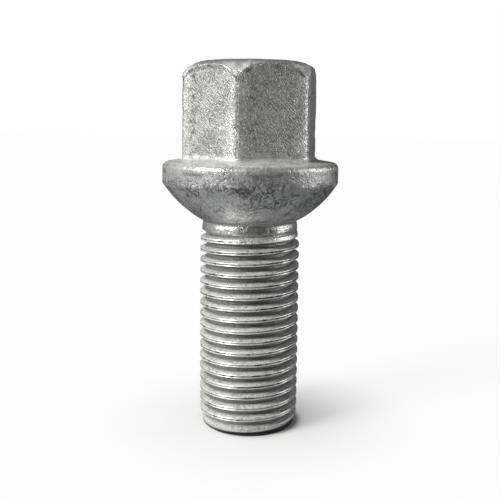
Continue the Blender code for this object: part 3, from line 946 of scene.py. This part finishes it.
def zinc_coated_steel():
    """Grey grained metal: shinier and paler where it is worn and where light is painted on, dark where it
    is dirty and where shade is painted on.
    """
    paint = Shading(bpy.data.materials.new("zinc_coated_steel"))
    place = paint.add("TexCoord").outputs["Object"]
    names = ("wear_and_painted_light", "dirt_and_painted_shade", "slanted", "dull", "bare", "smooth", "matt_and_painted_light", "pale", "polish")
    wear_and_painted_light, dirt_and_painted_shade, slanted, dull, bare, smooth, matt_and_painted_light, pale, polish = (paint.attribute(n) for n in names)

    worms = paint.noise(place, *WORMS)
    sand = paint.noise(place, *SAND)
    strokes = paint.noise(paint.stretched(paint.attribute("strokes", "Vector"), STROKE_STRETCH), *STROKES)
    grain = {0: slanted, 2: paint.noise(place, *SPECKLE), 3: strokes}
    streaks = paint.add("Mix", grain, data_type="FLOAT").outputs[0]
    vein = vein_marks(paint, place, dull)
    pit = pit_marks(paint, place)
    flecks = paint.spread(paint.noise(place, *FLECKS), *FLECK_EDGE)
    stain = paint.times(paint.attribute("stain"), flecks)

    tone = paint.plus(paint.times(sand, TONE_OF_SAND), paint.noise(place, *BLOTCHES), TONE_OF_BLOTCHES)
    tone = paint.plus(paint.plus(tone, streaks, TONE_OF_STREAKS), worms, TONE_OF_WORMS)
    # Smooth places show less of the coat's tone
    tone_range = paint.spread(smooth, 0, 1, *TONE_RANGE)
    tone = paint.maths("DIVIDE", paint.maths("SUBTRACT", tone, TONE_MIDDLE), tone_range)
    # Paler where worn, rubbed and matt, and where light and a reflection are painted on
    colour = paint.mix(wear_and_painted_light, coat_colour(paint, tone), ADDED_BY_WEAR_AND_PAINTED_LIGHT, "ADD")
    colour = paint.mix(pale, colour, ADDED_BY_RUBBING_AND_PAINTED_REFLECTION, "ADD")
    colour = paint.mix(matt_and_painted_light, colour, ADDED_WHERE_MATT_AND_PAINTED_LIGHT, "ADD")
    colour = paint.mix(dull, colour, paint.mix(1.0, colour, OXIDE_TINT, "MULTIPLY"))
    # Darker in dirt and marks, and where shade is painted on
    marks = paint.most(dirt_and_painted_shade, vein, paint.times(pit, DARK_IN_PITS), paint.times(stain, DARK_IN_STAINS))
    paint.put(paint.shader.inputs["Base Color"], paint.mix(marks, colour, DIRT_AND_PAINTED_SHADE_COLOUR))

    metallic = paint.most(
        paint.spread(wear_and_painted_light, 0, 1, *METALLIC_BY_WEAR),
        paint.times(bare, METALLIC_WHERE_BARE),
        paint.times(dull, METALLIC_WHERE_DULL),
    )
    metallic = paint.plus(metallic, paint.times(metallic, matt_and_painted_light), METALLIC_BY_MATTNESS)
    paint.put(paint.shader.inputs["Metallic"], metallic)

    roughness = paint.spread(worms, *ROUGHNESS_EDGE, *ROUGHNESS)
    roughness = paint.plus(roughness, wear_and_painted_light, ROUGHNESS_BY_WEAR)
    roughness = paint.plus(roughness, bare, ROUGHNESS_WHERE_BARE)
    roughness = paint.plus(roughness, polish, ROUGHNESS_BY_POLISH)
    roughness = paint.plus(roughness, dirt_and_painted_shade, ROUGHNESS_BY_DIRT, clamp=True)
    paint.put(paint.shader.inputs["Roughness"], roughness)

    relief = paint.times(worms, WORM_RELIEF)
    relief = paint.plus(relief, sand, paint.spread(slanted, 0, 1, *SAND_RELIEF))
    relief = paint.plus(relief, streaks, paint.spread(slanted, 0, 1, *STREAK_RELIEF))
    for mark in (vein, stain, pit):
        relief = paint.plus(relief, mark, MARK_RELIEF)
    strength = paint.spread(smooth, 0, 1, *BUMP_STRENGTH)
    bump = paint.add("Bump", {"Strength": strength, "Distance": BUMP_DISTANCE, "Height": relief})
    paint.put(paint.shader.inputs["Normal"], bump.outputs["Normal"])
    return paint.block


def link_new(name, data):
    """Makes an object for the data and puts it in the scene."""
    obj = bpy.data.objects.new(name, data)
    bpy.context.scene.collection.objects.link(obj)
    return obj


def make_bolt():
    """The fine mesh that is shown in the CAD solid's place."""
    mesh = bolt_mesh()
    weld(mesh)
    mesh.shade_smooth()
    wear_surface(mesh)
    mesh.set_sharp_from_angle(angle=SHARP_ANGLE)
    mesh.materials.append(zinc_coated_steel())
    bolt = link_new("bolt", mesh)
    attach(bolt, "root")
    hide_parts("wheel_bolt")


def make_floor():
    """Close to the bolt the floor keeps its shadow whole, and its colour is darker there: a painted shade
    round the foot, darkest in a ring next to it. Farther out a glow softens it.
    """
    mesh = bpy.data.meshes.new("floor")
    half = FLOOR_SIZE / 2
    corners = [(-half, -half, 0), (half, -half, 0), (half, half, 0), (-half, half, 0)]
    mesh.from_pydata(corners, [], [(0, 1, 2, 3)])
    paint = Shading(bpy.data.materials.new("white_floor"))
    seen = seen_or_mirrored(paint)
    place = paint.add("TexCoord").outputs["Object"]
    away = paint.add("VectorMath", {0: place}, operation="LENGTH").outputs["Value"]
    near = paint.maths("POWER", paint.spread(away, NEAR_START, NEAR_END, NEAR_MOST, 0.0), NEAR_FALL)
    near = paint.most(near, paint.spread(away, CONTACT_START, CONTACT_END, 1.0, 0.0))
    far = paint.maths("SUBTRACT", 1.0, near)
    colour = paint.mix(far, NEAR_FLOOR_COLOUR_WITH_PAINTED_SHADE, FLOOR_FAR_COLOUR)
    inputs = paint.shader.inputs
    paint.put(inputs["Base Color"], paint.mix(seen, FLOOR_BOUNCE, colour))
    paint.put(inputs["Emission Color"], WHITE)
    paint.put(inputs["Emission Strength"], paint.times(paint.times(far, FLOOR_FAR_GLOW), seen))
    paint.put(inputs["Roughness"], FLOOR_ROUGHNESS)
    paint.put(inputs["Specular IOR Level"], 0.0)
    paint.block.cycles.emission_sampling = "NONE"
    mesh.materials.append(paint.block)
    floor = link_new("floor", mesh)


def direction(azimuth, elevation):
    """Unit vector from the object to a place at an azimuth, counted from the camera to its right."""
    around = CAMERA_AZIMUTH + azimuth
    level = math.cos(elevation)
    return Vector((math.sin(around) * level, -math.cos(around) * level, math.sin(elevation)))


def make_card(name, rows, glow):
    """A glowing card, given as rows of points. Only reflections in the object show it."""
    count = len(rows[0])
    faces = []
    for row in range(len(rows) - 1):
        for i in range(row * count, (row + 1) * count - 1):
            faces.append((i, i + count, i + count + 1, i + 1))
    mesh = bpy.data.meshes.new(name)
    mesh.from_pydata([point for row in rows for point in row], [], faces)
    paint = Shading(bpy.data.materials.new(name))
    inputs = paint.shader.inputs
    paint.put(inputs["Base Color"], BLACK)
    paint.put(inputs["Specular IOR Level"], 0.0)
    paint.put(inputs["Emission Color"], WHITE)
    paint.put(inputs["Emission Strength"], glow)
    mesh.materials.append(paint.block)
    card = link_new(name, mesh)
    card.visible_camera = False
    card.visible_diffuse = False
    card.visible_shadow = False


def make_cards():
    """Curved cards round the object, lying, upright or both, and one overhead."""
    for start, end, glow, profile in CARDS:
        rows = []
        for turn in np.radians(np.linspace(start, end, CARD_COLUMNS)):
            rows.append([direction(turn, 0) * r + Vector((0, 0, z)) for r, z in profile])
        make_card("card", rows, glow)
    side = (-CARD_R, CARD_R)
    make_card("ceiling_card", [[Vector((x, y, CARD_HEIGHT)) for y in side] for x in side], CEILING_GLOW)


def add_sun(name, strength, azimuth, elevation, spread, colour):
    light = bpy.data.lights.new(name, "SUN")
    light.color = colour
    light.energy = strength
    light.angle = spread
    obj = link_new(name, light)
    obj.rotation_euler = direction(azimuth, elevation).to_track_quat("Z", "Y").to_euler()


def make_world():
    """White where the camera or a reflection looks at it, softer where it lights matt surfaces."""
    paint = Shading(bpy.data.worlds.new("studio"), "Background")
    paint.put(paint.shader.inputs["Color"], WHITE)
    strength = paint.spread(seen_or_mirrored(paint), 0, 1, WORLD_FILL, 1.0)
    paint.put(paint.shader.inputs["Strength"], strength)
    bpy.context.scene.world = paint.block


def make_camera():
    camera = bpy.data.cameras.new("camera")
    camera.lens = LENS_MM
    camera.sensor_width = SENSOR_MM
    camera.shift_y = SHIFT_Y
    camera.clip_start = CLIP_START
    camera.clip_end = CLIP_END
    obj = link_new("camera", camera)
    place = direction(0, 0) * CAMERA_DISTANCE + Vector((0, 0, CAMERA_HEIGHT))
    yaw = Matrix.Rotation(CAMERA_AZIMUTH, 4, "Z")
    pitch = Matrix.Rotation(math.pi / 2 - CAMERA_TILT, 4, "X")
    roll = Matrix.Rotation(CAMERA_ROLL, 4, "Z")
    obj.matrix_world = Matrix.Translation(place) @ yaw @ pitch @ roll
    bpy.context.scene.camera = obj


def main():
    make_bolt()
    make_floor()
    make_world()
    make_cards()
    for sun in SUNS:
        add_sun(*sun)
    make_camera()
    bpy.context.scene.view_settings.view_transform = "Standard"


main()
